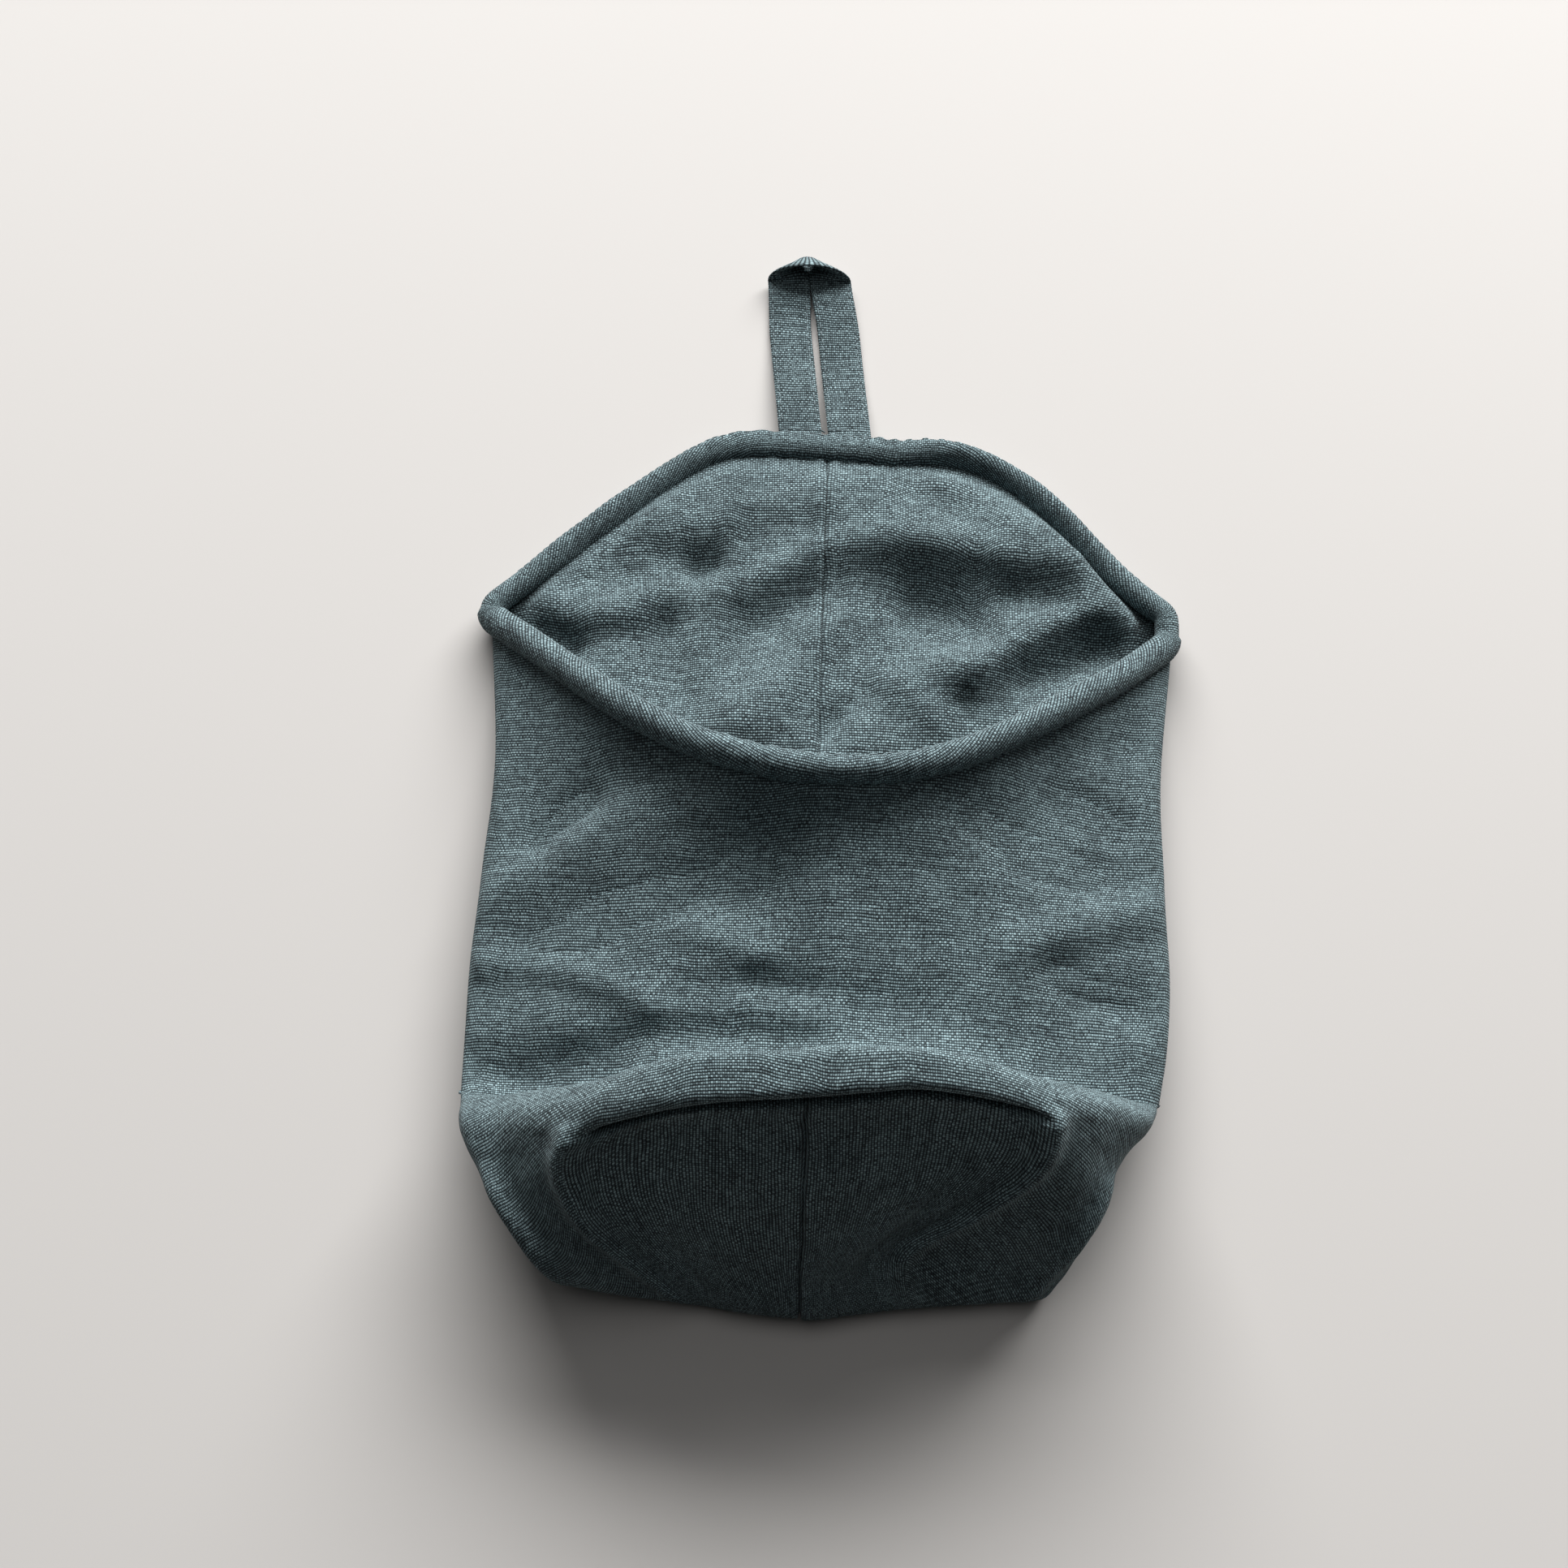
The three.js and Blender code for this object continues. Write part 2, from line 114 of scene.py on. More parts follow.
def crumple(x, y, size, seed):
    """Soft random ups and downs: values on a lattice of that size, blended smoothly between them."""
    cells = 64
    table = np.random.default_rng(seed).uniform(-1, 1, (cells, cells))
    i, j = np.floor(x / size).astype(int), np.floor(y / size).astype(int)
    f, g = smooth(x / size - i), smooth(y / size - j)
    left, right = i % cells, (i + 1) % cells
    low = table[j % cells, left] * (1 - f) + table[j % cells, right] * f
    high = table[(j + 1) % cells, left] * (1 - f) + table[(j + 1) % cells, right] * f
    return low * (1 - g) + high * g


def fold(x, y, path, rise, left, right):
    """Height of a fold: a bell across a smooth path in plan.
    It has one width to the left of the path and one to the right."""
    path = np.asarray(path, float)
    path_points = 16
    if len(path) > 2:
        path = spline(np.arange(len(path)), path, np.linspace(0, len(path) - 1, path_points))
    away = np.full(x.shape, np.inf)
    for (ax, ay), (bx, by) in zip(path[:-1], path[1:]):
        dx, dy = bx - ax, by - ay
        size = np.hypot(dx, dy)
        f = np.clip(((x - ax) * dx + (y - ay) * dy) / size ** 2, 0, 1)
        px, py = x - ax - f * dx, y - ay - f * dy
        far = np.hypot(px, py)
        side = (dx * py - dy * px) / (size * np.maximum(far, 1e-6))
        away = np.minimum(away, far / (right + (left - right) * (side + 1) / 2))
    return rise * bell(away)


# Lines across the front of the bag, from the left side over the middle to the right side. Each has a
# point on the side, one on the lobe beside the base, one on the soft edge of the base, a quarter point,
# the middle, and the same again to the right.
front_lines = [
    # the hem under the base, and the edge of the base on the floor
    [(-66, 16, 0.8), (-56, 13, 0.6), (-40, 11, 0.4), (-20, 10, 0.4), (0, 10, 0.4),
     (18, 10, 0.4), (36, 11, 0.4), (56, 13, 0.6), (66, 16, 0.8)],
    [(-74, 9, 11), (-58, 5.5, 10), (-34, 4, 5.5), (-17, 1.8, 5), (0, 0.8, 5),
     (17, 2.6, 5), (34, 5, 6), (56, 7, 6), (73, 9.5, 4)],
    # up the base
    [(-79.5, 12.5, 19), (-67, 10, 22), (-48, 12.5, 17), (-25, 7.5, 16.5), (0, 6.5, 16),
     (15, 9.5, 16.5), (30, 18.5, 17.5), (60, 16, 14), (79, 14.5, 6)],
    [(-85.5, 19.5, 24), (-76, 18.5, 30), (-62.5, 22, 32), (-32, 18.5, 32.5), (0, 17, 31.5),
     (25, 20.5, 31.5), (50, 30.5, 33), (73, 24.5, 27), (83.5, 21, 17)],
    [(-92.5, 29.5, 26), (-84, 29.5, 34.5), (-69.5, 32.5, 42), (-35, 32.5, 48), (0, 31, 47.5),
     (33, 35.5, 47.5), (66, 41, 47), (83, 36, 36.5), (88.7, 33, 21)],
    [(-98.7, 39.5, 26), (-88, 39.5, 37), (-70, 40, 49), (-35, 44.5, 60), (0, 44.5, 59),
     (34, 49, 60), (70, 48.5, 55), (87.5, 46.5, 41), (94.8, 46.5, 20)],
    # box seam
    [(-102.3, 45.5, 25), (-90.5, 46, 38), (-68, 44, 53), (-34, 50, 66), (0, 53.3, 67),
     (34, 56.7, 67.5), (70.5, 53.5, 59.5), (90.5, 53, 43.5), (99.3, 53, 21)],
    # roll over the seam: its front, top and back, the drop behind it and the valley
    [(-104.7, 50.5, 24), (-91.5, 50.5, 38), (-68, 47, 56), (-34, 51, 71.6), (0, 54.3, 72.6),
     (35, 57.6, 72.8), (71, 55, 61.5), (92, 57, 44.5), (103, 56.5, 21.5)],
    [(-106, 55.5, 22), (-91.5, 56, 35.5), (-67.5, 53, 56.5), (-34, 57.5, 72.4), (0, 60.5, 73.2),
     (35, 63, 73.3), (70.5, 59.5, 62), (92.5, 61.5, 43.5), (105.6, 60, 21)],
    [(-106.8, 59.5, 18), (-91, 60.5, 31), (-66.5, 58.5, 53.5), (-34, 63, 71.8), (0, 65.6, 72.8),
     (35, 67.2, 72.8), (69, 64, 60), (93, 65.5, 37), (107.2, 63, 18)],
    [(-107.6, 64.5, 15), (-90, 64, 21), (-66.5, 63, 38), (-35, 67, 54), (0, 69.3, 55),
     (36, 70.5, 55.5), (71, 67, 44), (92, 68, 25), (108.8, 67.5, 15)],
    [(-108, 70, 13.5), (-89.5, 69, 16.5), (-67, 70, 21.5), (-35, 74.5, 29.5), (0, 77, 31),
     (35, 78, 32), (71, 73.5, 25.5), (92, 71.5, 19), (110.3, 72.5, 13.5)],
    # belly, chest and waist of the front, which sags between the roll and the rim
    [(-108.4, 84, 12), (-91, 85, 16), (-68, 86, 21), (-35, 88, 25.5), (0, 88, 27.5),
     (35, 88, 28), (70, 87, 24), (94, 86, 18), (112.5, 85, 12.5)],
    [(-108.8, 106, 11.5), (-91, 106, 16.5), (-68, 106, 21.5), (-35, 106, 26.5), (0, 106, 29),
     (36, 106, 29), (71, 106, 25), (95, 106, 19), (114.2, 106, 11.5)],
    [(-107.6, 142, 10), (-90, 140, 15.5), (-67, 139, 22.5), (-35, 137, 28.5), (0, 136, 32.5),
     (36, 137, 32), (70, 139, 25), (94, 141, 18), (113.4, 144, 10)],
    [(-106.8, 184, 8.5), (-89, 178, 15.5), (-67, 169, 22), (-33, 156, 34.5), (1.5, 152, 37),
     (36, 156, 36), (71, 170, 24), (94, 178, 17), (113.4, 184, 8.5)],
]
SEAM_LINE, VALLEY_LINE, CHEST_LINE = 6, 10, 13
# Where the ring of each line crosses the middle of the back.
BACK_MIDDLES = [13, 15, 20, 30, 40, 47, 52, 56, 60, 63, 66, 74, 92, 115, 178, 250, 298, 302]

# Rim line of the front: nearly straight from each corner of the mouth, and round where it dips.
LIP_Z, LIP_MIDDLE, LIP_HALF, CORNER_Z = 44.0, 3.0, 114.0, 6.5
LEFT_CORNER, RIGHT_CORNER = -112.0, 116.5
FRONT_LINE = np.array([
    (-118, 238), (-109.8, 230), (-95.2, 217.5), (-76.6, 201.2), (-58.6, 187.4), (-41.4, 177.2),
    (-24.7, 170.8), (-8.3, 167), (3, 166), (15.8, 166.5), (31.9, 169.6), (48.2, 176.2), (64.9, 186.5),
    (82.2, 199), (100.2, 213.4), (115.3, 228), (122, 235)])


def front_rim(x):
    """Points of the front rim: a smooth curve along the bag, whose height falls with the square of the
    distance from its middle."""
    x = np.asarray(x, float)
    y = spline(FRONT_LINE[:, 0], FRONT_LINE[:, 1], x)
    z = LIP_Z + (CORNER_Z - LIP_Z) * ((x - LIP_MIDDLE) / LIP_HALF) ** 2
    return np.stack([x, y, z], axis=-1)


# The groove under the rim, and the edge that is sewn into the rim.
UNDER_RIM, INTO_RIM = (0, 4.0, 1.8), (0, 0.5, 1.0)
lip_line = front_rim([-111.5, -92, -70, -30, LIP_MIDDLE, 36, 76, 97, 118])
front_lines += [lip_line - UNDER_RIM, lip_line - INTO_RIM]

# Places round the tube, in shares of half of it: quarter point, soft edge, lobe, side and floor.
EDGE_TURN, SIDE_TURN, FLOOR_TURN = 0.29, 0.53, 0.6
RIGHT_TURNS = np.array([0.145, EDGE_TURN, 0.41, SIDE_TURN, FLOOR_TURN])
FRONT_TURNS = np.concatenate([-RIGHT_TURNS[::-1], [0], RIGHT_TURNS])
HALF_ROUND = 234.0

# Rim line of the back: nearly straight from each corner of the mouth to a shoulder, and flat on top.
BACK_TOP, BACK_MIDDLE = 302.0, 2.0
BACK_LINE = np.array([
    (-118, 230.6), (-111.1, 237.2), (-95.7, 252.1), (-79.3, 267.3), (-62.6, 282), (-54.2, 288.8),
    (-45.9, 294.8), (-37.9, 299.4), (-28.6, 302), (-14.8, 302.4), (0, 301.8), (13.5, 301.3),
    (24.4, 300.4), (35.2, 300.6), (45, 299.6), (54.8, 296.3), (64.9, 290.4), (73.3, 283.7), (81.7, 275.4),
    (90.3, 265.4), (99.1, 255.2), (108, 247), (115.8, 240.4), (122, 235.5)])
SIDE_BEND = 0.015


def back_rim(x):
    """Length along the bag of the back rim: a smooth curve through its points."""
    return spline(BACK_LINE[:, 0], BACK_LINE[:, 1], np.ravel(x)).reshape(np.shape(x))


def tube_ring(line, back_middle, turns):
    """One ring of the tube: a curve through the points of the front line, down both sides to the floor,
    where it lies in by half its height, and flat across the back, where it bows towards the back rim."""
    line = np.array(line, float)
    sides = line[[0, -1]]
    ends = sides - np.column_stack([np.sign(sides[:, 0]) * sides[:, 2] / 2, [0, 0], sides[:, 2]])
    front = np.vstack([ends[:1], line, ends[1:]])
    ring = spline(FRONT_TURNS, front, np.clip(turns, -FLOOR_TURN, FLOOR_TURN))
    b = np.clip((np.abs(turns) - FLOOR_TURN) / (1 - FLOOR_TURN), 0, 1)
    end = np.where(turns[:, None] < 0, ends[0], ends[1])
    x = end[:, 0] * (1 - b)
    bow = (back_middle - end[:, 1]) / (BACK_TOP - end[:, 1])
    y = end[:, 1] + bow * (back_rim(x) - end[:, 1]) * smooth(b / SIDE_BEND)
    flat = np.column_stack([x, y, np.zeros_like(x)])
    return np.where(b[:, None] > 0, flat, ring)


def tube(turns, low_step, seam_step, high_step):
    """The bag's skin as a grid: rings through the lines of the front, joined by smooth curves along the
    bag. The rows lie closer over the seam and the roll. Gives the points, the directions out of the skin,
    and how far up the middle the rows and the lines lie."""
    rings = np.array([tube_ring(line, back, turns) for line, back in zip(front_lines, BACK_MIDDLES)])
    knots = lengths(rings[:, np.argmin(np.abs(turns))], 0)
    before_seam, after_valley = 6, 10
    low, high = knots[SEAM_LINE] - before_seam, knots[VALLEY_LINE] + after_valley
    rows = np.concatenate([
        np.arange(0, low, low_step),
        np.arange(low, high, seam_step),
        np.linspace(high, knots[-1], int((knots[-1] - high) / high_step)),
    ])
    out = spline(knots, normals(rings), rows)
    return spline(knots, rings, rows), out / np.linalg.norm(out, axis=-1, keepdims=True), rows, knots


def add_piece(name, points, faces, maps=None):
    """Smooth-shaded piece from points in millimetres and their faces, with the UV map of its weave."""
    mesh = bpy.data.meshes.new(name)
    mesh.from_pydata(in_frame(points.reshape(-1, 3)), [], faces)
    if maps is not None:
        mesh.uv_layers.new(name="weave").data.foreach_set("uv", (maps * MM).ravel())
    mesh.polygons.foreach_set("use_smooth", np.ones(len(faces), bool))
    piece = bpy.data.objects.new(name, mesh)
    bpy.context.scene.collection.objects.link(piece)
    return piece


def face_corners(rows, columns):
    """Row and column of the four corners of each face of a grid, taken in turn round the face."""
    j, i = np.meshgrid(np.arange(rows), np.arange(columns), indexing="ij")
    return [(j, i), (j, i + 1), (j + 1, i + 1), (j + 1, i)]


def mesh_tube(name, points, uv, turned=None, ring=False):
    """Tube from a grid of points whose last column repeats its first, with lengths along the cloth as UV.
    The faces marked in turned have their UV turned by a quarter. In a ring the last row also repeats the
    first, and the faces look the other way."""
    rows, columns = len(points) - int(ring), points.shape[1] - 1
    corners = face_corners(len(points) - 1, columns)
    if ring:
        corners.reverse()
    faces = np.stack([a % rows * columns + b % columns for a, b in corners], axis=-1).reshape(-1, 4)
    maps = np.stack([uv[a, b] for a, b in corners], axis=2).reshape(-1, 4, 2)
    if turned is not None:
        maps = np.where(turned.reshape(-1, 1, 1), maps[..., ::-1], maps)
    return add_piece(name, points[:rows, :columns], faces, maps)


def bend_with_lip(piece):
    """Bakes the piece's transform into its points; it does not bend with the front lip."""
    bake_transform(piece)


def linear(code):
    """Linear colour of an sRGB hex code."""
    c = np.array([int(code[k:k + 2], 16) / 255 for k in (1, 3, 5)])
    return (*np.where(c <= 0.04045, c / 12.92, ((c + 0.055) / 1.055) ** 2.4), 1.0)


def node(tree, kind, *inputs, **settings):
    """Adds a node and gives its first output. Its inputs, in order, are other outputs to link or plain
    values, and None leaves an input as it is. The settings are its properties."""
    made = tree.nodes.new(kind)
    for key, value in settings.items():
        setattr(made, key, value)
    for socket, value in zip(made.inputs, inputs):
        if isinstance(value, bpy.types.NodeSocket):
            tree.links.new(value, socket)
        elif value is not None:
            socket.default_value = value
    return made.outputs[0]


def washed_linen(name, dark, middle, light, seed):
    """Washed plain-weave linen: matt threads that go over and under in turn, thick and thin along their
    length. The crown of each thread is painted lighter as a highlight and the gaps between are painted
    dark as shade, so that the eye sees rows of pale dashes. Real threads lie 0.6 by 0.84 mm apart. They
    are drawn a little coarser, because finer ones would not show. Sizes are in mm."""
    warp_gap, weft_gap, gap_shape, over_slope = 0.72, 0.94, 0.6, 1.2
    wander_size, wander_reach = 22.22, 3.2
    warp_slub, weft_slub, next_thread = 3.333, 6.25, 3.7
    fleck_size, cloud_size = 1.111, 33.33
    ripple_long, ripple_high = 28.57, 2.5
    painted_crown_share, tone_low, tone_span = 0.78, 0.8, 0.8
    slub_height, ripple_height, relief, thread_height = 0.9, 2.5, 0.55, 0.35
    material = bpy.data.materials.new(name)
    material.use_nodes = True
    tree = material.node_tree

    # Place on the cloth. The threads wander a little off their straight lines.
    place = node(tree, "ShaderNodeUVMap", uv_map="weave")
    place = node(tree, "ShaderNodeVectorMath", place, None, None, 1 / MM, operation="SCALE")
    wander = node(tree, "ShaderNodeTexNoise", place, None, 1 / wander_size, 2.0).node.outputs[1]
    wander = node(tree, "ShaderNodeVectorMath", wander, (0.5, 0.5, 0.5), operation="SUBTRACT")
    wander = node(tree, "ShaderNodeVectorMath", wander, None, None, wander_reach, operation="SCALE")
    place = node(tree, "ShaderNodeVectorMath", place, wander, operation="ADD")
    along, up, _ = node(tree, "ShaderNodeSeparateXYZ", place).node.outputs

    # Warp and weft: which thread it is, where it lies over the other, and how it rounds off to its gap.
    threads = []
    for way, gap in ((along, warp_gap), (up, weft_gap)):
        count = node(tree, "ShaderNodeMath", way, gap, operation="DIVIDE")
        wave = node(tree, "ShaderNodeMath", count, np.pi, operation="MULTIPLY")
        wave = node(tree, "ShaderNodeMath", wave, operation="SINE")
        crown = node(tree, "ShaderNodeMath", wave, operation="ABSOLUTE")
        crown = node(tree, "ShaderNodeMath", crown, gap_shape, operation="POWER")
        threads.append((node(tree, "ShaderNodeMath", count, operation="FLOOR"), wave, crown))
    (warp, warp_wave, warp_crown), (weft, weft_wave, weft_crown) = threads
    over = node(tree, "ShaderNodeMath", warp_wave, weft_wave, operation="MULTIPLY")
    over = node(tree, "ShaderNodeMath", over, over_slope, 0.5, operation="MULTIPLY_ADD", use_clamp=True)
    top = node(tree, "ShaderNodeMath", warp_crown, 0.5, 0.5, operation="MULTIPLY_ADD")
    top = node(tree, "ShaderNodeMath", weft_crown, top, operation="MULTIPLY")

    # Slub: each thread is thick and thin in its own places.
    warp_place = node(
        tree, "ShaderNodeCombineXYZ",
        node(tree, "ShaderNodeMath", warp, next_thread, operation="MULTIPLY"),
        node(tree, "ShaderNodeMath", up, warp_slub, operation="DIVIDE"), seed + 9.0)
    weft_place = node(
        tree, "ShaderNodeCombineXYZ",
        node(tree, "ShaderNodeMath", along, weft_slub, operation="DIVIDE"),
        node(tree, "ShaderNodeMath", weft, next_thread, operation="MULTIPLY"), seed)
    slub = node(
        tree, "ShaderNodeMix", over, None,
        node(tree, "ShaderNodeTexNoise", warp_place, None, 1.0, 2.0),
        node(tree, "ShaderNodeTexNoise", weft_place, None, 1.0, 2.0))

    # Tone: painted highlight on the crown of each thread and painted shade in the gaps between, then the
    # weave and its slub, each crossing a little different, small flecks and wide clouds.
    single = node(tree, "ShaderNodeCombineXYZ", warp, weft, seed)
    single = node(tree, "ShaderNodeTexWhiteNoise", single)
    fleck = node(tree, "ShaderNodeTexNoise", place, None, 1 / fleck_size, 3.0)
    cloud = node(tree, "ShaderNodeTexNoise", place, None, 1 / cloud_size, 2.0)
    tone = node(tree, "ShaderNodeMath", top, painted_crown_share, operation="MULTIPLY")
    for part, share in ((slub, 0.75), (over, 0.14), (single, 0.14), (fleck, 0.2), (cloud, 0.16)):
        tone = node(tree, "ShaderNodeMath", part, share, tone, operation="MULTIPLY_ADD")
    tone = node(tree, "ShaderNodeMath", tone, tone_low, operation="SUBTRACT")
    tone = node(tree, "ShaderNodeMath", tone, tone_span, operation="DIVIDE")
    colour = node(tree, "ShaderNodeValToRGB", tone)
    stops = colour.node.color_ramp.elements
    stops[0].color = linear(dark)
    stops[1].color = linear(light)
    stops.new(0.5).color = linear(middle)

    # Relief: the threads, and the ripples that washing leaves across the cloth.
    ripple = node(
        tree, "ShaderNodeCombineXYZ",
        node(tree, "ShaderNodeMath", along, ripple_long, operation="DIVIDE"),
        node(tree, "ShaderNodeMath", up, ripple_high, operation="DIVIDE"), seed + 5.0)
    ripple = node(tree, "ShaderNodeTexNoise", ripple, None, 1.0, 2.0)
    height = node(tree, "ShaderNodeMath", slub, slub_height, top, operation="MULTIPLY_ADD")
    height = node(tree, "ShaderNodeMath", ripple, ripple_height, height, operation="MULTIPLY_ADD")
    bump = node(tree, "ShaderNodeBump", relief, thread_height * MM)
    tree.links.new(height, bump.node.inputs["Height"])

    shader = tree.nodes["Principled BSDF"]
    tree.links.new(colour, shader.inputs["Base Color"])
    tree.links.new(bump, shader.inputs["Normal"])
    shader.inputs["Roughness"].default_value = 0.92
    shader.inputs["IOR"].default_value = 1.47
    shader.inputs["Specular IOR Level"].default_value = 0.2
    shader.inputs["Sheen Weight"].default_value = 0.05
    shader.inputs["Sheen Roughness"].default_value = 0.5
    return material


# Dark, middle and light colours of the weave: the dark one lies mostly in the gaps between threads as
# painted shade, the light one mostly on their crowns as painted highlight.
LINEN_COLOURS = "#080c0d", "#384448", "#8ea4a8"
outer_linen = washed_linen("washed linen, outer", *LINEN_COLOURS, 1.0)


def turns_round(front_step, back_step):
    """Places round the tube in shares of half of it, closest beside the seams up its two middles."""
    floor = FLOOR_TURN * HALF_ROUND
    near = np.array([0, 0.5, 1.0, 1.6, 2.4, 3.4])
    clear = 4.6
    front = np.arange(clear, floor, front_step)
    back = np.linspace(floor, HALF_ROUND - clear, int((HALF_ROUND - clear - floor) / back_step))
    right = np.concatenate([near, front, back, HALF_ROUND - near[::-1]]) / HALF_ROUND
    return np.concatenate([-right[:0:-1], right])


turns = turns_round(front_step=1.7, back_step=2.4)
shell, shell_out, rows, knots = tube(turns, low_step=2.0, seam_step=0.9, high_step=1.7)
seam_row = knots[SEAM_LINE]
x, y = shell[..., 0], shell[..., 1]
on_front = np.abs(turns) < FLOOR_TURN
on_base = (rows[:, None] < seam_row) & (np.abs(turns) < EDGE_TURN)
s_round, r_along = np.broadcast_arrays(turns * HALF_ROUND, rows[:, None])
s_away, to_seam = np.abs(s_round), seam_row - r_along

# Box seam: the cloth dives into it. The base's middle seam is a fine groove with its right side proud.
BOX_MIDDLE, BOX_HALF, BOX_DEPTH, BOX_WIDTH = 3.0, 70.0, 4.0, 1.8
GROOVE_DEPTH, GROOVE_WIDTH, PROUD, PROUD_REACH = 2.0, 0.8, 0.7, 14.0
box_groove = -BOX_DEPTH * bell(to_seam / BOX_WIDTH) * smooth((BOX_HALF - np.abs(x - BOX_MIDDLE)) / 10)
base_groove = -GROOVE_DEPTH * bell(s_round / GROOVE_WIDTH)
base_groove += PROUD * smooth(s_round / 1.5) * bell(x / PROUD_REACH)
base_groove = np.where(to_seam > 0, base_groove, 0)

# Soft edges of the base, where the cloth folds over without a seam, with the base sunk between them.
# A second fold on each side runs from the corner of the bag to the floor.
EDGE_AT, EDGE_HEIGHT, EDGE_WIDTH = 70.0, 5.2, 5.0
SUNK_HALF, SUNK_DEPTH = 60.0, 3.2
CORNER_AT, CORNER_HEIGHT, CORNER_WIDTH = 112.0, 2.6, 6.0
edge_run = smooth((to_seam + 8) / 10) * smooth((r_along - 8) / 20)
sunk_run = smooth(to_seam / 12) * smooth((r_along - 10) / 20)
corner_run = smooth((to_seam - 10) / 20) * smooth((r_along - 8) / 14)
edges = EDGE_HEIGHT * bell((s_away - EDGE_AT) / EDGE_WIDTH) * edge_run
edges -= SUNK_DEPTH * smooth((SUNK_HALF - s_away) / 14) * sunk_run
edges += CORNER_HEIGHT * bell((s_away - CORNER_AT) / CORNER_WIDTH) * corner_run

# Creases of the front, each with its path, height and the widths to its left and right: the ridge up its
# middle, the dip behind the roll and the slack folds at both sides.
CREASE_SHARE = 1.6
front_creases = [
    ([(5.6, 169), (8.3, 128), (7.7, 99), (7, 76)], 1.1, 13, 11),
    ([(-104, 106.5), (-84, 105.4), (-70.8, 102), (-50, 94)], 1.3, 7, 4.5),
    ([(-104, 72), (-84, 70), (-62, 72)], -2.2, 9, 5),
    ([(-101.7, 132.4), (-78.4, 148.8), (-62.8, 157.7)], 1.8, 6, 12),
    ([(-88, 147.4), (-80.8, 155.5), (-75.3, 161)], -1.8, 6, 6),
    ([(-88, 110), (-58, 124), (-20, 136)], -1.6, 13, 13),
    ([(81, 166), (91, 162.5), (100, 158.5)], -1.5, 6, 6),
    ([(46, 158), (63, 150), (81, 146), (105, 142)], -1.2, 8, 8),
    ([(63, 143), (76.8, 139.5), (90, 137)], -0.7, 3, 3),
    ([(66.4, 115), (90.6, 126), (110, 133.3)], 1.5, 8, 7),
    ([(77, 108), (88, 102), (101, 100)], -1.5, 8, 8),
    ([(-37.6, 117), (-28.8, 114), (-16.7, 109)], 1.0, 6, 5),
    ([(-19, 101), (0, 98)], -0.8, 5, 5),
    ([(-51, 90), (-23, 92), (5.4, 88)], 1.0, 6, 6),
    ([(-78.8, 77.8), (-51, 82.5), (1, 81.5)], -1.0, 5, 5),
    ([(104, 190), (90, 186), (76, 184)], -1.2, 7, 7),
]
creases = CREASE_SHARE * sum(fold(x, y, *crease) for crease in front_creases)

# What washing leaves: wide, middling and small crumples, each with its height, stretch, size and seed.
# All of it fades out before the side folds.
WASHED_FROM, WASHED_HALF, SIDE_FADE = 2, 116, 0.05
washed = sum(rise * crumple(x, stretch * y, size, seed) for rise, stretch, size, seed in (
    (0.6, 1, 38, 3), (0.45, 1.6, 17, 5), (0.16, 1.4, 7, 8)))
washed *= on_front * smooth((y - WASHED_FROM) / 14) * smooth((WASHED_HALF - np.abs(x)) / 12)
lift = np.where(on_front, box_groove + base_groove + edges + creases, 0) + washed
lift = lift * smooth((SIDE_TURN - np.abs(turns)) / SIDE_FADE)
shell = shell + shell_out * lift[..., None]


def cloth_uv(points, turns, rows, knots):
    """Lengths along the cloth: round the tube across, and up it from the chest of the bag."""
    up = lengths(points, 0)
    up -= up[[np.argmin(np.abs(rows - knots[CHEST_LINE]))]]
    return np.stack(np.broadcast_arrays(turns * HALF_ROUND, up), axis=-1)


shell_uv = cloth_uv(shell, turns, rows, knots)
outer_shell = mesh_tube("outer_shell", shell, shell_uv, turned=on_base[:-1, :-1])
outer_shell.data.materials.append(outer_linen)
outer_wall = outer_shell.modifiers.new("cloth", "SOLIDIFY")
outer_wall.thickness, outer_wall.offset = LINEN_THICK * MM, -1.0
bend_with_lip(outer_shell)
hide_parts("outer_front", "outer_back_left", "outer_back_right",
            "outer_base_left", "outer_base_right")

# Lining: a second tube of the same linen inside the first, sewn to it only at the rim. Its back shows in
# the mouth, slack and rumpled, and its own back seam runs up the middle.
LINING_INSET, LINING_CLEAR = 1.7, 5.0
lining_linen = washed_linen("washed linen, lining", *LINEN_COLOURS, 4.0)
lining_turns = turns_round(front_step=2.6, back_step=1.3)
skin, lining_out, lining_rows, lining_knots = tube(
    lining_turns, low_step=4.0, seam_step=1.6, high_step=0.85)
low_down = smooth((lining_knots[CHEST_LINE] - lining_rows[:, None]) / 20)
off_floor = smooth((FLOOR_TURN - np.abs(lining_turns)) / 0.1)
deep = LINING_INSET + LINING_CLEAR * low_down * off_floor
lining = skin - lining_out * deep[..., None]

# At the pinched corners of the base the skin has no clear inside, and the lining simply lies above it.
PINCH_ROW, PINCH_Z = 40, 1
PINCH_SHARE, PINCH_SHIFT = (0.96, 1, 1), (0, 3, LINING_INSET)
pinched = (lining_rows[:, None] < PINCH_ROW) & (lining[..., 2] < PINCH_Z)
lining[pinched] = skin[pinched] * PINCH_SHARE + PINCH_SHIFT
lining[..., 2] = np.maximum(lining[..., 2], LINEN_THICK)

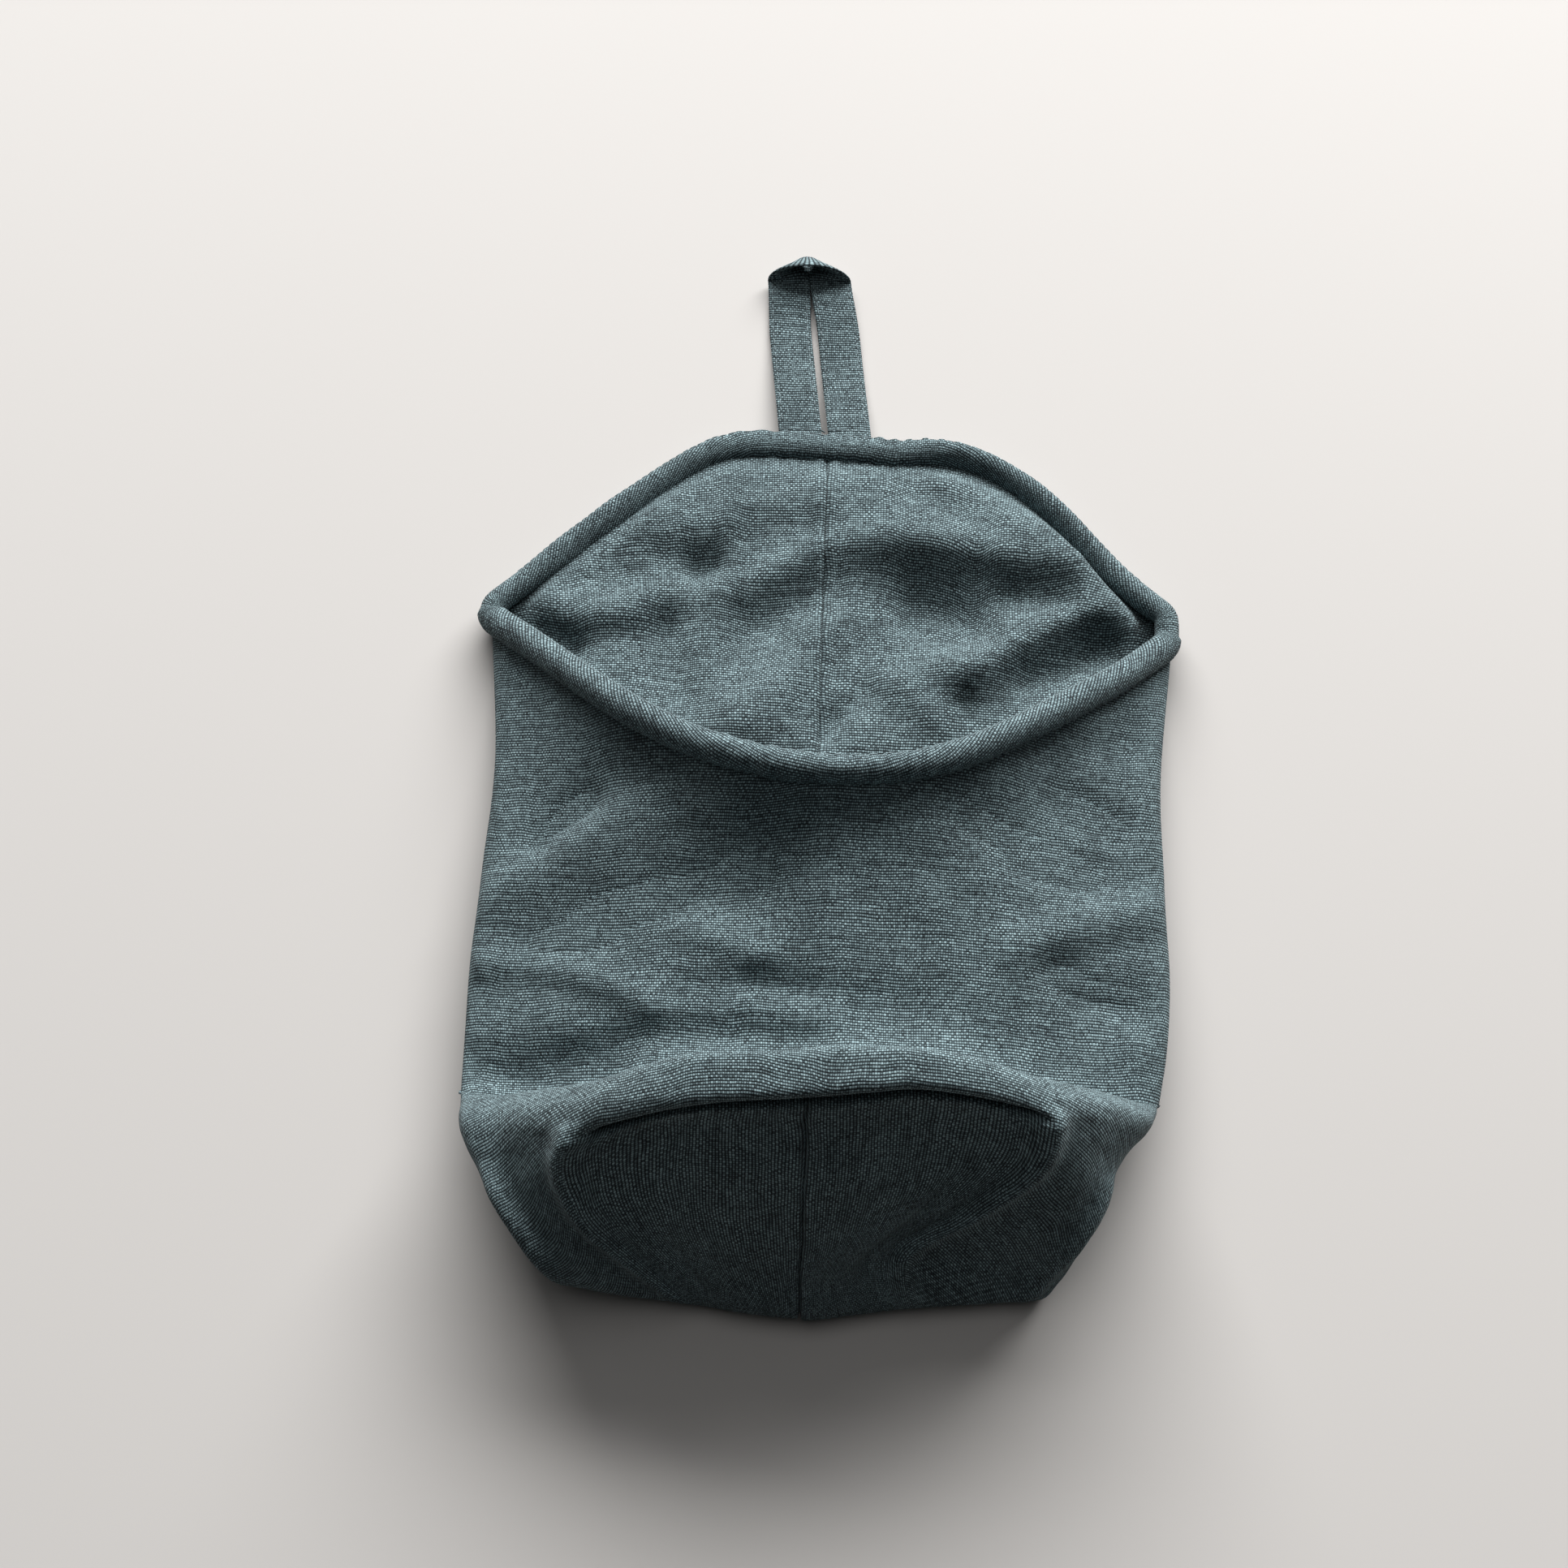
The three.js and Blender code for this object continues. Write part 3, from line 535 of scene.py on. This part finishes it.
# Folds of the slack back, given as the creases of the front are.
FOLD_SHARE = 1.45
long_ridge = [(-26.5, 245.5), (-13, 253.7), (1, 261), (15, 264.4), (32, 264), (50, 261.3),
              (67, 258.4), (83, 256)]
right_ridge = [(50, 213), (67, 226), (81, 235), (91.6, 239), (103.6, 236.7)]
back_folds = [
    (long_ridge, 2.6, 18, 8),
    (long_ridge, 0.9, 3.5, 4),
    (long_ridge[4:], 3.2, 16, 13),
    (right_ridge, 5.0, 13, 6.5),
    (right_ridge, 0.8, 3.5, 3.5),
    ([(-55.5, 266.8), (-38, 269.4), (-20.7, 276), (-3, 278.5)], 2.6, 14, 6.5),
    ([(-43, 251.5), (-38, 253)], -3.4, 6, 6),
    ([(-24.5, 196.6), (-14.7, 206), (-4.8, 218), (1, 231)], 2.6, 9, 9),
    ([(-101, 236.2), (-80, 233.5), (-66, 235), (-54, 240.7)], 3.2, 9, 6.5),
    ([(24.6, 209.5), (38.4, 198)], 1.8, 6, 6),
    ([(29.6, 214.3), (50, 216)], 1.6, 6, 6),
    ([(39, 287), (58.5, 275.7), (76, 264.6)], 1.8, 8, 6),
    ([(-27, 226), (-17, 234), (-7, 240)], -1.5, 7, 7),
    ([(32, 240), (43, 238), (52, 232)], -2.4, 7, 7),
    ([(65, 244), (81, 241.5)], -1.6, 6, 6),
    ([(70, 213), (83, 219), (97, 226)], -2.5, 6, 6),
    ([(-93, 227), (-84, 220)], -3.0, 6, 6),
    ([(27.6, 232), (43, 228), (60, 227.5)], -1.2, 3, 3),
    ([(2.8, 190), (5.2, 197)], -2.2, 4, 4),
    ([(11, 201), (16, 207)], -1.6, 4, 4),
    ([(-52, 227), (-49.4, 214), (-47, 203)], -1.8, 8, 8),
]
x, y = lining[..., 0], lining[..., 1]
slack = FOLD_SHARE * sum(fold(x, y, *each) for each in back_folds)
slack += sum(rise * crumple(x, stretch * y, size, seed) for rise, stretch, size, seed in (
    (0.5, 1, 31, 12), (0.45, 1.3, 14, 14), (0.2, 1, 6, 15)))

# The slack is least under the back rim, from where the lining comes up, and most behind the front rim.
SLACK_HIGH, SLACK_LOW, SLACK_LEAST = 4.0, 8.0, 0.4
LOW_FROM, LOW_OVER, DEEP_END = 245, 65, 130
RIM_TUCK, TUCK_RISE, TUCK_WIDTH, TUCK_FADE = 4.8, 2.0, 6.0, 9
on_back = np.abs(lining_turns) > FLOOR_TURN
in_mouth = smooth((np.abs(lining_turns) - FLOOR_TURN) / 0.06) * smooth((y - DEEP_END) / 60)
to_rim = np.maximum(back_rim(x) - RIM_TUCK - y, 0)
slack += SLACK_HIGH + SLACK_LOW * smooth((LOW_FROM - y) / LOW_OVER)
slack = np.maximum(slack, SLACK_LEAST) * smooth(to_rim / TUCK_FADE)
slack += TUCK_RISE * bell(to_rim / TUCK_WIDTH)
slack = np.where(on_back, slack * in_mouth, 0)

# The back seam: a fine groove between its two pressed edges.
SEAM_DEPTH, SEAM_WIDTH = 1.3, 0.6
PRESSED_AT, PRESSED_HEIGHT, PRESSED_WIDTH = 2.4, 0.4, 1.2
back_seam = PRESSED_HEIGHT * bell((np.abs(x) - PRESSED_AT) / PRESSED_WIDTH)
back_seam -= SEAM_DEPTH * bell(x / SEAM_WIDTH)
slack += back_seam * on_back
lining = lining + slack[..., None] * (0.0, 0.0, 1.0)

lining_uv = cloth_uv(lining, lining_turns, lining_rows, lining_knots)
lining_shell = mesh_tube("lining_shell", lining, lining_uv)
lining_shell.data.materials.append(lining_linen)
lining_wall = lining_shell.modifiers.new("cloth", "SOLIDIFY")
lining_wall.thickness, lining_wall.offset = LINEN_THICK * MM, -1.0
bend_with_lip(lining_shell)
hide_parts("lining_front", "lining_back_left", "lining_back_right",
            "lining_base_left", "lining_base_right")

# Rim: outer and lining are sewn together round the mouth, and the channel between two rows of stitches
# holds a cord, so the edge is one even roll of the outer linen that bends sharply at both corners.
RIM_RADIUS, RIM_STEPS, RIM_SIDES = 4.6, 440, 24
BACK_Z, RIGHT_RISE, RIM_HALF, FRONT_BAND = 4.0, 0.8, 113.2, 2.5


def on_path(places, at, values):
    """Values at places along a path, straight between those that are known at its points."""
    return np.column_stack([np.interp(places, at, values[:, k]) for k in range(3)])


def rim_path(count):
    """Closed middle line of the rim: the line of the front and that of the back in even steps, averaged
    over a few of them, which rounds the corners."""
    fine, spread = 600, 4
    t = np.sin(np.linspace(-1, 1, fine) * np.pi / 2)
    front_x = (LEFT_CORNER + RIGHT_CORNER) / 2 + t * (RIGHT_CORNER - LEFT_CORNER) / 2
    front = front_rim(front_x)
    back_x = front_x[::-1]
    back_z = BACK_Z + (CORNER_Z - BACK_Z) * (np.abs(back_x - BACK_MIDDLE) / RIM_HALF) ** 8
    back_z += RIGHT_RISE * smooth((back_x - 20) / 30)
    back = np.column_stack([back_x, back_rim(back_x), back_z])
    loop = np.vstack([front, back[1:-1], front[:1]])
    at = lengths(loop, 0)
    path = on_path(np.linspace(0, at[-1], count, endpoint=False), at, loop)
    wrapped = np.vstack([path[-spread:], path, path[:spread]])
    share = bell(np.linspace(-2, 2, 2 * spread + 1))
    return np.column_stack([np.convolve(wrapped[:, k], share / share.sum(), "valid") for k in range(3)])


def round_tube(path, radius, sides):
    """Grid of a closed tube: a circle of the given radii carried along the path, its first side facing
    out of the mouth. Gives the points, the angle of each column, and the ways out of the mouth and up."""
    ahead = np.roll(path, -1, axis=0) - np.roll(path, 1, axis=0)
    ahead /= np.linalg.norm(ahead, axis=1, keepdims=True)
    out = np.cross(ahead, (0, 0, 1))
    out /= np.linalg.norm(out, axis=1, keepdims=True)
    above = np.cross(out, ahead)
    angle = np.linspace(0, 2 * np.pi, sides + 1)
    reach = out[:, None] * np.cos(angle)[:, None] + above[:, None] * np.sin(angle)[:, None]
    points = path[:, None] + reach * radius[..., None]
    return np.vstack([points, points[:1]]), angle, out, above


rim_line = rim_path(RIM_STEPS)
x = rim_line[:, 0]
rim_front = rim_line[:, 1] < front_rim(x)[:, 1] + FRONT_BAND

# The roll puckers beside its middle, is nipped by a seam there, and is fuller at the front. Each run of
# puckers has its height, its angle per millimetre, the angle it starts with, its middle and its width.
WAVER, WAVER_SIZE, OTHER_SIDE = 0.15, 9, 300
NIP, NIP_AT, NIP_WIDTH = 0.35, -0.3, 0.8
FRONT_FULL, FRONT_LESS, BACK_LESS = 0.5, 0.2, 0.4
puckers = [(0.35, 1.15, 0, 14, 26), (0.25, 0.8, 1, -18, 20)]
pucker = sum(rise * np.sin(x * rate + start) * bell((x - middle) / wide)
             for rise, rate, start, middle, wide in puckers)
waver = WAVER * crumple(x + OTHER_SIDE * rim_front, x * 0, WAVER_SIZE, 21)
rim_radius = RIM_RADIUS + pucker + waver - NIP * bell((x - NIP_AT) / NIP_WIDTH)
rim_radius += np.where(rim_front, FRONT_FULL - FRONT_LESS * smooth((x + 20) / 40), -BACK_LESS)

# At the back the roll is pressed flat. To both sides it leans, most on the right, with its outer side up.
LEAN, LEAN_LEFT, LEAN_RIGHT = 0.15, 0.4, 0.7
PRESSED, PRESSED_HALF = 0.24, 85
lean = LEAN + LEAN_LEFT * smooth((-x - 20) / 30) + LEAN_RIGHT * smooth((x - 20) / 30)
lean = np.linspace(0, 2 * np.pi, RIM_SIDES + 1) - np.where(rim_front, 0, lean)[:, None]
pressed = PRESSED * (1 - smooth((np.abs(x - BACK_MIDDLE) - PRESSED_HALF) / 25))
pressed = np.where(rim_front, 0, pressed)[:, None]
section = 1 / np.hypot(np.cos(lean) / (1 + pressed), np.sin(lean) / (1 - pressed))
rim_points, rim_angle, rim_out, rim_up = round_tube(rim_line, rim_radius[:, None] * section, RIM_SIDES)
rim_uv = rim_line[:, None, :2] + rim_out[:, None, :2] * (rim_angle[:, None] * RIM_RADIUS)
rim_uv = np.vstack([rim_uv, rim_uv[:1]])

rim_roll = mesh_tube("rim_roll", rim_points, rim_uv, ring=True)
rim_roll.data.materials.append(outer_linen)
bend_with_lip(rim_roll)
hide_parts("front_rim_casing", "back_rim_casing")

# Rim cord: a cotton cord of three plies, laid inside the roll as it is sewn. It is held along its whole
# length and does not show.
CORD_RADIUS, CORD_SIDES, CORD_PLIES, CORD_LAY, PLY_DEPTH = 3.0, 12, 3, 9.0, 0.3
CORD_UV_STEP = 3.0


def matt(name, colour, roughness, shine=0.5):
    """Plain matt material of one colour, with its roughness and the share of light that it mirrors."""
    material = bpy.data.materials.new(name)
    material.use_nodes = True
    shader = material.node_tree.nodes["Principled BSDF"]
    shader.inputs["Base Color"].default_value = linear(colour)
    shader.inputs["Roughness"].default_value = roughness
    shader.inputs["Specular IOR Level"].default_value = shine
    return material


# Undyed cotton: pale and quite matt, so that only its plies would show.
cotton = matt("undyed cotton cord", "#cfc8ba", 0.95)
cord_line = rim_line[::2]
cord_step = lengths(rim_line, 0)[-1] / len(cord_line)
cord_turn = np.arange(len(cord_line))[:, None] * cord_step * 2 * np.pi / CORD_LAY
ply_turn = np.linspace(0, 2 * np.pi, CORD_SIDES + 1) * CORD_PLIES
cord_radius = CORD_RADIUS - PLY_DEPTH + PLY_DEPTH * np.abs(np.cos((ply_turn + cord_turn) / 2))
cord_points, cord_angle, _, _ = round_tube(cord_line, cord_radius * section[::2, ::2], CORD_SIDES)
cord_along = np.arange(len(cord_points))[:, None] * CORD_UV_STEP
cord_uv = np.stack(np.broadcast_arrays(cord_angle * CORD_RADIUS, cord_along), axis=-1)
rim_cord = mesh_tube("rim_cord", cord_points, cord_uv, ring=True)
rim_cord.data.materials.append(cotton)
bend_with_lip(rim_cord)
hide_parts("front_rim_cord", "back_rim_cord")

# Rim stitches: machine rows of dyed cotton thread. A topstitch lies in the groove beside the roll, and an
# edge stitch runs along the lip of the mouth.
THREAD_RADIUS, STITCH_LENGTH, STITCH_PITCH = 0.26, 2.2, 2.9
# Dyed cotton: the linen's own tone and a little smoother, so that a row shows as fine beads.
thread = matt("dyed cotton thread", "#5d6c70", 0.75)


def stitches(name, cad_node, path, up, body):
    """Row of stitches along a path: small beads of thread, each five rings that swell and shrink, laid
    along the path and half sunk in it."""
    at = lengths(path, 0)
    places = np.arange(STITCH_PITCH / 2, at[-1], STITCH_PITCH)
    middle = on_path(places, at, path)
    ahead = on_path(places, at, np.gradient(path, at, axis=0))
    ahead /= np.linalg.norm(ahead, axis=1, keepdims=True)
    aside = np.cross(on_path(places, at, up), ahead)
    aside /= np.linalg.norm(aside, axis=1, keepdims=True)
    above = np.cross(ahead, aside)

    sides = 6
    along = np.array([-1, -0.75, 0, 0.75, 1])[:, None] * STITCH_LENGTH / 2
    radius = np.array([0.3, 0.85, 1, 0.85, 0.3])[:, None] * THREAD_RADIUS
    turn = np.arange(sides) * np.pi / 3
    bead = np.stack(np.broadcast_arrays(along, radius * np.cos(turn), radius * np.sin(turn)), axis=-1)
    bead = bead.reshape(-1, 3)
    points = (middle[:, None] + bead @ np.stack([ahead, aside, above], axis=1)).reshape(-1, 3)
    wall = np.stack([a * sides + b % sides for a, b in face_corners(len(along) - 1, sides)], axis=-1)
    caps = [(0, 5, 4, 3), (0, 3, 2, 1), (24, 25, 26, 27), (24, 27, 28, 29)]
    faces = np.vstack([wall.reshape(-1, 4), caps])
    faces = (faces + len(bead) * np.arange(len(middle))[:, None, None]).reshape(-1, 4)

    row = add_piece(name, points, faces)
    row.data.materials.append(thread)
    if body == "front_lip":
        bend_with_lip(row)
    else:
        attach(row, body)
    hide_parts(cad_node)


FRONT_RUN, BACK_RUN = 106, 104
FRONT_ASIDE, FRONT_DROP, BACK_ASIDE, BACK_DROP = 0.2, 1.6, 0.3, 1.2
FRONT_EDGE, BACK_EDGE = 9, 2
front_run = rim_front & (np.abs(x - BACK_MIDDLE) < FRONT_RUN)
back_run = ~rim_front & (np.abs(x - BACK_MIDDLE) < BACK_RUN)
front_groove = rim_line + rim_out * (RIM_RADIUS + FRONT_ASIDE) - rim_up * FRONT_DROP
back_groove = rim_line - rim_out * (RIM_RADIUS + BACK_ASIDE) - rim_up * BACK_DROP
rim_way = rim_out[:, None] * np.cos(rim_angle)[:, None] + rim_up[:, None] * np.sin(rim_angle)[:, None]
for name, run, path, up, body in (
        ("front_rim", front_run, front_groove, rim_out, "front_lip"),
        ("back_rim", back_run, back_groove, rim_up, "bag"),
        ("front_edge", front_run, rim_points[:-1, FRONT_EDGE], rim_way[:, FRONT_EDGE], "front_lip"),
        ("back_edge", back_run, rim_points[:-1, BACK_EDGE], rim_way[:, BACK_EDGE], "bag")):
    stitches(f"{name}_thread", f"{name}_stitch", path[run], up[run], body)

# Seam stitches: the same thread, which closes the base and its two boxed corners from inside, and runs up
# the back seams of both shells.
THREAD_SINK, LINING_SINK, SEAM_STOP = 0.3, 0.1, 2
FRONT_BOX_HALF, BACK_BOX_HALF, BACK_BOX_Y, BACK_BOX_BOW = 66, 60, 24, 8
skin_up = normals(shell)
below_seam, above_seam = rows < seam_row - SEAM_STOP, rows > seam_row
base_middle = np.argmin(np.abs(turns))
base_up = skin_up[below_seam, base_middle]
base_path = shell[below_seam, base_middle] - base_up * THREAD_SINK
box_row = np.argmin(np.abs(rows - seam_row))
boxed = on_front & (np.abs(shell[box_row, :, 0] - BOX_MIDDLE) < FRONT_BOX_HALF)
bow = np.linspace(-1, 1, 41)
back_box = np.column_stack([
    bow * BACK_BOX_HALF, BACK_BOX_Y + BACK_BOX_BOW * np.cos(bow), np.full_like(bow, THREAD_SINK)])
lining_run = lining_rows > lining_knots[SEAM_LINE]
lining_path = lining[lining_run, 0] + (0, 0, LINEN_THICK - LINING_SINK)
for name, path, up in (
        ("base_seam", base_path, base_up),
        ("front_box", shell[box_row, boxed], skin_up[box_row, boxed]),
        ("back_box", back_box, np.tile((0.0, 0.0, -1.0), (len(bow), 1))),
        ("outer_back", shell[above_seam, 0] + (0, 0, THREAD_SINK), skin_up[above_seam, 0]),
        ("lining_back", lining_path, -normals(lining)[lining_run, 0])):
    stitches(f"{name}_thread", f"{name}_stitch", path, up, "bag")

# Hanging loop: a strip of the outer linen, folded in three and edge-stitched, its two ends sewn side by
# side behind the back rim. The legs lie flat, and where the strip turns back it stands up like a hood.
LOOP_WIDTH, LOOP_THICK, LOOP_COLUMNS, LOOP_ROWS = 15.0, 1.5, 21, 151
LEG_MIDDLE, LEG_BOW, LEG_BOW_END = 7.5, 1.1, 0.35
LEG_WAVE, WAVE_TURN, WAVE_SHIFT, WAVE_END = 0.9, 6.5, 1.4, 0.2
ROOT_Y, CROWN_Y, CROWN_LENGTH, CROWN_LIFT, CROWN_TILT = 304.5, 371.0, 7.6, 2.6, 0.85
CROWN_TUCK, TUCK_FROM = 0.8, 0.6
ROOT_Z, LEG_Z, LOOP_DROOP = 5.0, 1.6, 14.0
LOOP_MIDDLE, LOOP_LEAN = -0.8, -0.116
EDGE_ROW, EDGE_ROW_DEPTH, EDGE_ROW_WIDTH = 0.8, 0.22, 0.05


def loop_sheet(along, side):
    """Middle of the strip: along is 0 and 3 at its sewn ends and 1 to 2 round the crown, side is -1 on
    its outer edge and 1 on its inner edge. Round the crown the width of the strip turns to stand up, and
    the inner edge is tucked in."""
    crown = np.clip(along - 1, 0, 1) * np.pi
    leg = np.minimum(np.minimum(along, 3 - along), 1)
    c, s = np.cos(crown), np.sin(crown)
    x = -(LEG_MIDDLE + LEG_BOW * smooth((1 - leg) / LEG_BOW_END)) * c
    y = ROOT_Y + (CROWN_Y - ROOT_Y) * leg
    z = LEG_Z + (ROOT_Z - LEG_Z) * np.exp((ROOT_Y - y) / LOOP_DROOP) + CROWN_LIFT * s
    wave = np.sin(WAVE_TURN * leg + WAVE_SHIFT * (along > 1.5))
    z = z + LEG_WAVE * wave * smooth((1 - leg) / WAVE_END) * smooth(leg / WAVE_END)
    middle = np.stack([x, y + CROWN_LENGTH * s, z], axis=-1)
    wide = np.stack([c, np.sin(CROWN_TILT) * s, -np.cos(CROWN_TILT) * s], axis=-1)
    wide /= np.linalg.norm(wide, axis=-1, keepdims=True)
    tucked = 1 - CROWN_TUCK * smooth((s - TUCK_FROM) / (1 - TUCK_FROM)) * (side > 0)
    point = middle + wide * (side * tucked * LOOP_WIDTH / 2)[..., None]
    point[..., 0] += LOOP_MIDDLE + LOOP_LEAN * (point[..., 1] - ROOT_Y)
    return point


across = np.sin(np.linspace(-1, 1, LOOP_COLUMNS) * np.pi / 2)
strip = loop_sheet(*np.meshgrid(np.linspace(0, 3, LOOP_ROWS), across, indexing="ij"))
strip_up = normals(strip)
half_thick = LOOP_THICK / 2 * (1 - np.abs(across) ** 6) ** 0.5
half_thick -= EDGE_ROW_DEPTH * bell((np.abs(across) - EDGE_ROW) / EDGE_ROW_WIDTH)
half_thick = np.maximum(half_thick, 0)[:, None]
upper, lower = strip + strip_up * half_thick, strip - strip_up * half_thick
loop_points = np.concatenate([upper, lower[:, -2::-1]], axis=1)
strip_across = np.concatenate([across, 2 - across[-2::-1]]) * LOOP_WIDTH / 2
strip_along = lengths(strip, 0)[:, [LOOP_COLUMNS // 2]]
loop_uv = np.stack(np.broadcast_arrays(strip_across, strip_along), axis=-1)
hanging_loop = mesh_tube("loop_strip", loop_points, loop_uv)
hanging_loop.data.materials.append(outer_linen)
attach(hanging_loop, "loop")
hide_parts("hanging_loop")

# Loop stitches: the same thread in one row along each edge of the strip, and the tack that holds its two
# ends behind the rim.
ROW_END, TACK_ROW = 6, 3
for name, edge in (("outer", -EDGE_ROW), ("inner", EDGE_ROW)):
    run = slice(ROW_END, -ROW_END), np.argmin(np.abs(across - edge))
    stitches(f"loop_{name}_thread", f"loop_{name}_stitch", upper[run], strip_up[run], "loop")
tack_path = np.vstack([upper[TACK_ROW], upper[-TACK_ROW - 1][::-1]])
tack_up = np.vstack([strip_up[TACK_ROW], strip_up[-TACK_ROW - 1][::-1]])
stitches("loop_tack_thread", "loop_tack", tack_path, tack_up, "loop")

# Floor: a plain pale sheet of paper, laid flat just under the bag to take its shadow. It is no part of
# the bag. Matt paper gives an even tone without a gloss.
FLOOR_SIZE, FLOOR_DROP = 6.0, 0.5
bpy.ops.mesh.primitive_plane_add(size=FLOOR_SIZE, location=(0, 0, -FLOOR_DROP * MM))
floor = bpy.context.object
floor.name = "floor"
floor.data.materials.append(matt("matt pale paper", "#bdbab7", 0.95, shine=0.1))

# Light: a wide soft window behind the bag, low enough to leave the base in shade, and a pale ceiling
# above. The room gives a little cool light from all round.
ROOM_COLOUR, ROOM_STRENGTH = "#f4f6f8", 0.042


def soft_light(name, place, wide, high, energy):
    """Rectangle of light at a place, turned towards the bag."""
    made = bpy.data.objects.new(name, bpy.data.lights.new(name, "AREA"))
    made.data.shape, made.data.size, made.data.size_y = "RECTANGLE", wide, high
    made.data.energy = energy
    made.location = place
    made.rotation_euler = (-made.location).to_track_quat("-Z", "Y").to_euler()
    bpy.context.scene.collection.objects.link(made)


soft_light("window", place=(0.35, 2.6, 1.45), wide=4.4, high=1.2, energy=325.0)
soft_light("ceiling", place=(0.0, 0.9, 2.6), wide=3.0, high=3.0, energy=16.0)
world = bpy.data.worlds.new("room")
world.use_nodes = True
world.node_tree.nodes["Background"].inputs["Color"].default_value = linear(ROOM_COLOUR)
world.node_tree.nodes["Background"].inputs["Strength"].default_value = ROOM_STRENGTH
bpy.context.scene.world = world
bpy.context.scene.view_settings.view_transform = "Standard"
